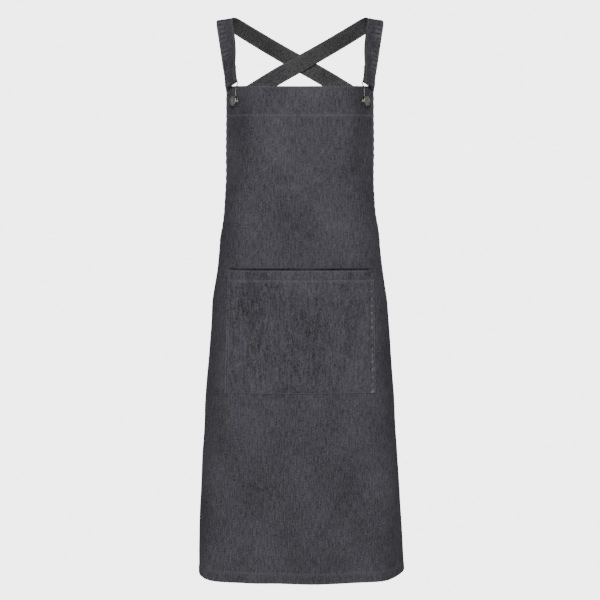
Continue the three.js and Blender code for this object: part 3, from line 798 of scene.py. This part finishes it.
# Profiles of the button's turned pieces: radius, and distance out from the face of the cloth.
CAP = [(0.02, 5.3), (7.4, 5.3), (8.2, 5.55), (8.65, 6.1), (8.7, 6.6), (8.5, 7.3), (8.0, 7.85), (7.3, 8.0),
       (6.7, 7.8), (6.3, 7.4), (5.9, 7.25), (5.5, 7.35), (5.1, 7.6), (4.6, 7.7), (4.1, 7.6), (3.8, 7.35),
       (3.3, 7.3), (2.6, 7.5), (1.6, 7.66), (0.7, 7.72), (0.02, 7.73)]
SHANK = [(0.02, 0.35), (4.2, 0.35), (4.4, 0.6), (4.2, 0.95), (3.7, 1.3), (3.45, 1.9), (3.4, 3.6), (3.6, 4.5),
         (4.1, 5.0), (4.1, 5.35), (0.02, 5.35)]
TACK = [(0.02, -3.7), (4.4, -3.7), (4.85, -3.5), (5.0, -3.1), (4.8, -2.8), (1.35, -2.75), (1.3, 0.4),
        (0.02, 0.4)]

for word, side in SIDES:
    for part, profile in (("cap", CAP), ("shank", SHANK), ("tack", TACK)):
        piece = lathe(f"{word}_button_{part}_turned", profile, button_place(side), NICKEL)
        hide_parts(f"{word}_button_{part}")
        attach(piece, f"{word}_button")
    clip = tube(f"{word}_clip_bent_wire", wire_path(), np.array([0, 0, 1.0]), WIRE_RADIUS * WIRE_SLIMMING,
                clip_place(side), WIRE, 18)
    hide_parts(f"{word}_clip_wire")
    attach(clip, f"{word}_clip")


# ---------------------------------------------------------------- straps

# The left strap's route from its clip over the shoulder and across the back, as places in millimetres with
# the way the strap faces there. The right strap mirrors it. CROSSING is how much of the step UNDER or OVER
# the other strap each point at the crossing takes.
UNDER, OVER = -2.2, 2.2
SHOULDER_ROUTE = [
    ((-126, -24, 927), (-0.42, -0.86, 0.3)),
    ((-131, -5, 962), (-0.24, -0.84, 0.5)),
    ((-134.5, 12, 987), (-0.12, -0.35, 0.93)),
    ((-130, 29, 987), (-0.16, 0.35, 0.92)),
    ((-112, 47, 976), (-0.2, 0.68, 0.7)),
    ((-80, 66, 958), (-0.15, 0.79, 0.6)),
    ((-40, 84, 936), (-0.08, 0.86, 0.5)),
    ((0, 95, 914.5), (0, 0.93, 0.37)),
    ((38, 101, 894), (0.12, 0.96, 0.2)),
    ((72, 99, 873.5), (0.4, 0.9, 0.1)),
    ((100, 84, 855), (0.72, 0.69, 0.05)),
    ((117, 56, 833), (0.93, 0.36, 0.02)),
    ((122, 20, 810), (1, 0.03, 0)),
    ((121.5, -16, 788), (0.98, -0.18, 0)),
]
CROSSING = {6: 0.8, 7: 1.0, 8: 0.8}
FOLD_RADIUS = WIRE_RADIUS + STRAP_THICKNESS / 2 + 0.1
TAIL = 31.0


def centripetal(points, per_span):
    """Centripetal Catmull-Rom curve through points, per_span samples to each span."""
    points = np.array(points, float)
    full = np.concatenate([[2 * points[0] - points[1]], points, [2 * points[-1] - points[-2]]])
    out = []
    for k in range(len(points) - 1):
        a, b, c, d = full[k:k + 4]
        d0, d1, d2 = (max(np.linalg.norm(q - p) ** 0.5, 1e-4) for p, q in ((a, b), (b, c), (c, d)))
        m1 = ((b - a) / d0 - (c - a) / (d0 + d1) + (c - b) / d1) * d1
        m2 = ((c - b) / d1 - (d - b) / (d1 + d2) + (d - c) / d2) * d1
        for t in np.arange(per_span) / per_span:
            out.append(b + m1 * t + (3 * (c - b) - 2 * m1 - m2) * t ** 2 + (m1 + m2 - 2 * (c - b)) * t ** 3)
    return np.array(out + [points[-1]])


def strap_line(side):
    """Centre line and outward vectors of a strap: its tail, the fold round the bar, then the route.

    The third value is how many points come before the end of the tail on the way up."""
    place = clip_place(side)
    zero = place(np.zeros((1, 3)))[0]
    up = unit(place(np.array([[0, 1.0, 0]]))[0] - zero)
    out = unit(place(np.array([[0, 0, 1.0]]))[0] - zero)
    bar = place(np.array([[0, BAR_UP, 0.0]]))[0]
    cross = OVER if side < 0 else UNDER
    centres, outward = [bar, bar + up * 9], [out, out]
    for k, ((x, y, z), (u, v, w)) in enumerate(SHOULDER_ROUTE):
        centres.append(np.array([-side * x, y + CROSSING.get(k, 0) * cross, z]))
        outward.append(unit(np.array([-side * u, v, w])))
    lay = -CLOTH / 2 - 1.0 - CLOTH - STRAP_THICKNESS / 2
    for across, height, extra in ((BIB_HALF - 6, 767, 2), (BIB_HALF - 34, 752, 0)):
        point, normal = on_cloth(np.array([height]), np.array([-side * across]), np.array([lay - extra]))
        centres.append(point[0])
        outward.append(normal[0])
    line, faces = centripetal(centres, 14), centripetal(outward, 14)
    run = run_along(line)
    even = np.linspace(0, run[-1], 260)
    line = np.stack([np.interp(even, run, line[:, k]) for k in range(3)], -1)
    faces = unit(np.stack([np.interp(even, run, faces[:, k]) for k in range(3)], -1))
    for _ in range(30):
        faces[1:-1] = unit(faces[:-2] + 2 * faces[1:-1] + faces[2:])
        line[3:-1] = (line[2:-2] + 2 * line[3:-1] + line[4:]) / 4
    near = smooth(even / 24)[:, None]
    front = line + faces * FOLD_RADIUS * (1 - near)
    tail = even < TAIL
    back = (line - faces * (FOLD_RADIUS + (STRAP_THICKNESS + 0.1 - FOLD_RADIUS) * near))[tail][::-1]
    angles = np.linspace(-math.pi / 2, math.pi / 2, 13)[1:-1]
    bend = np.array([bar + FOLD_RADIUS * (out * math.sin(a) - up * math.cos(a)) for a in angles])
    bend_faces = np.array([out * math.sin(a) - up * math.cos(a) for a in angles])
    count = len(back) + len(bend) + int(tail.sum())
    return (np.concatenate([back, bend, front]),
            np.concatenate([-faces[tail][::-1], bend_faces, faces]), count)


def strap_puckers(along, across, side, folded):
    """Ripples at a strap's outer seam; they fade out below `folded`, where the tail is sewn down."""
    out = across * -side
    ripple = wave(along, STRAP_PUCKER, 0.7 * value_noise(along / 30, along * 0, 21))
    depth = 0.15 + 0.5 * smooth((out + 0.25) / 0.9) * smooth((along - folded + 20) / 20)
    depth = depth * (0.6 + 0.5 * value_noise(along / 23, along * 0 + side, 25))
    return depth * ripple * (1 - 0.4 * np.abs(across) ** 6)


straps, strap_seams = [], []
for word, side in SIDES:
    centres, faces_out, fold_count = strap_line(side)
    puckers = partial(strap_puckers, side=side, folded=run_along(centres)[fold_count])
    strap, out, sideways = band(f"{word}_strap", centres, faces_out, [WEBBING, STRAP_BACK], puckers,
                                wear_side=-side, seed=70.0 + 9 * side)
    lines = []
    for edge in (-1, 1):
        for face in (-1, 1):
            inset = sideways * edge * (STRAP_WIDTH / 2 - STITCH_INSET)
            lines.append((centres + inset + out * face * (STRAP_THICKNESS / 2 + 0.05), out * face))
    marks = np.linspace(-1, 1, 9)[:, None]
    k = fold_count - 2
    rise = out[k] * (STRAP_THICKNESS / 2 + 0.3)
    across_line = centres[k] + sideways[k] * marks * (STRAP_WIDTH / 2 - STITCH_INSET) + rise
    lines.append((across_line, np.repeat(out[k][None], 9, 0)))
    seam = stitches(f"{word}_strap_stitching", lines, GREY_THREAD)
    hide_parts(f"{word}_strap_front", f"{word}_strap_rear", f"{word}_strap_loop")
    for piece in (strap, seam):
        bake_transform(piece)
    straps.append(strap)
    strap_seams.append(seam)


# ---------------------------------------------------------------- stitching on the cloth

def seam_line(heights, across, offset):
    """Points and outward normals of a line of stitches; offset gives the height of the cloth's face."""
    heights, across = np.broadcast_arrays(np.asarray(heights, float), np.asarray(across, float))
    points, normals = on_cloth(heights, across, offset(heights, across))
    points[..., 2] += corner_lift(heights, across)
    return points, normals


def panel_top(heights, across):
    return panel_face(heights, across) + THREAD_LIFT


def pocket_top(heights, across):
    return pocket_back(heights, across) + CLOTH + pocket_relief(heights, across) + THREAD_LIFT


gap = 3.0
panel_lines = []
for side in (-1, 1):
    level = np.arange(1.5, BIB_TOP - 1, gap)
    panel_lines.append(seam_line(level, side * (panel_half(level) - SIDE_HEM + 1), panel_top))
half = BIB_HALF - 1.5
panel_lines.append(seam_line(BIB_TOP - TOP_HEM, np.arange(-half, half, gap), panel_top))
half = SKIRT_HALF - 1.5
panel_lines.append(seam_line(BOTTOM_HEM, np.arange(-half, half, gap), panel_top))
panel_seams = stitches("panel_stitching", panel_lines, DARK_THREAD)

pocket_lines, side_lines = [], []
level = np.arange(POCKET_BOTTOM + 2, POCKET_TOP - 1, gap)
for inset, right_lines in zip(POCKET_SEAMS, (side_lines, pocket_lines)):
    side_lines.append(seam_line(level, pocket_edge(POCKET_LEFT, level) + inset, pocket_top))
    right_lines.append(seam_line(level, pocket_edge(POCKET_RIGHT, level) - inset, pocket_top))
    spread = np.arange(POCKET_LEFT[0] + 3, POCKET_RIGHT[0] - 3, gap)
    pocket_lines.append(seam_line(POCKET_BOTTOM + inset, spread, pocket_top))
spread = np.arange(POCKET_LEFT[1] + 2, POCKET_RIGHT[1] - 2, gap)
pocket_lines.append(seam_line(hem_line, spread, pocket_top))
level = np.arange(POCKET_BOTTOM + 3, POCKET_TOP - 2, gap)
pocket_lines.append(seam_line(level, PEN_DIVIDER, pocket_top))
pocket_seams = stitches("pocket_stitching", pocket_lines, DARK_THREAD)
side_seams = stitches("pocket_side_stitching", side_lines, GREY_THREAD)

for piece in (panel, facing, bottom, *side_hems, pocket, pocket_hem, panel_seams, pocket_seams, side_seams):
    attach(piece, "root")


# ---------------------------------------------------------------- floor, light and camera

# The apron hangs as it is worn, so the floor lies well below its hem.
FLOOR_RADIUS, FLOOR_DROP, FLOOR_SIDES = 1.2, 0.42, 96
SKY_STRENGTH, BACKDROP_STRENGTH = 1.2, 4.4
CAMERA_PLACE = (0, -2.820, -0.3175)
CAMERA_LENS, CAMERA_SENSOR = 94.65, 36
CAMERA_DOWN = 3.67


def floor_disc(radius, z):
    angles = np.linspace(0, math.tau, FLOOR_SIDES, endpoint=False)
    ring = [(radius * math.cos(a), radius * math.sin(a), z) for a in angles]
    material, tree, shader = nodes_of("pale_floor")
    specks = noise(tree, object_space(tree, (1, 1, 1)), scale=60, detail=3.0)
    tree.links.new(ramp(tree, specks.outputs["Fac"], (0.78, 0.78, 0.78), (0.84, 0.84, 0.84)),
                   shader.inputs["Base Color"])
    shader.inputs["Roughness"].default_value = 0.9
    mesh = bpy.data.meshes.new("floor")
    mesh.from_pydata(ring, [], [tuple(range(FLOOR_SIDES))])
    mesh.materials.append(material)
    floor = bpy.data.objects.new("floor", mesh)
    bpy.context.scene.collection.objects.link(floor)


def area_light(name, place, target, size, power):
    light = bpy.data.lights.new(name, "AREA")
    light.shape = "RECTANGLE"
    light.size, light.size_y = size
    light.energy = power
    lamp = bpy.data.objects.new(name, light)
    lamp.location = place
    lamp.rotation_euler = (Vector(target) - Vector(place)).to_track_quat("-Z", "Y").to_euler()
    bpy.context.scene.collection.objects.link(lamp)


def studio_sky():
    """A pale backdrop for the eye, and a dimmer sky that lights the apron mostly from the sides."""
    world = bpy.data.worlds.new("studio")
    world.use_nodes = True
    sky = world.node_tree
    split = add_node(sky, "ShaderNodeSeparateXYZ")
    link(sky, add_node(sky, "ShaderNodeTexCoord"), "Generated", split, "Vector")
    level = math_node(sky, "ABSOLUTE", split.outputs["Z"], 0.0)
    softbox = sky.nodes["Background"]
    band_of_light = ramp(sky, level, (1, 1, 1), (0.25, 0.25, 0.25), 0.27, 0.68)
    sky.links.new(band_of_light, softbox.inputs["Color"])
    softbox.inputs["Strength"].default_value = SKY_STRENGTH
    backdrop = add_node(sky, "ShaderNodeBackground")
    backdrop.inputs["Color"].default_value = (1, 1, 1, 1)
    backdrop.inputs["Strength"].default_value = BACKDROP_STRENGTH
    seen = add_node(sky, "ShaderNodeMixShader")
    link(sky, add_node(sky, "ShaderNodeLightPath"), "Is Camera Ray", seen, "Fac")
    sky.links.new(softbox.outputs["Background"], seen.inputs[1])
    sky.links.new(backdrop.outputs["Background"], seen.inputs[2])
    link(sky, seen, "Shader", sky.nodes["World Output"], "Surface")
    bpy.context.scene.world = world


floor_disc(FLOOR_RADIUS, HEM_Z - FLOOR_DROP)
studio_sky()
area_light("key", (0, -2.6, 1.25), (0, 0, -0.45), (0.7, 0.7), 140)
area_light("back", (0, 2.8, 0.7), (0, 0, -0.45), (1.6, 1.6), 75)
area_light("fill", (0, -3.1, 0.1), (0, 0, -0.5), (0.7, 0.7), 47)

camera_data = bpy.data.cameras.new("camera")
camera_data.lens = CAMERA_LENS
camera_data.sensor_width = CAMERA_SENSOR
camera = bpy.data.objects.new("camera", camera_data)
camera.location = CAMERA_PLACE
camera.rotation_euler = (math.radians(90 - CAMERA_DOWN), 0, 0)
bpy.context.scene.collection.objects.link(camera)
bpy.context.scene.camera = camera
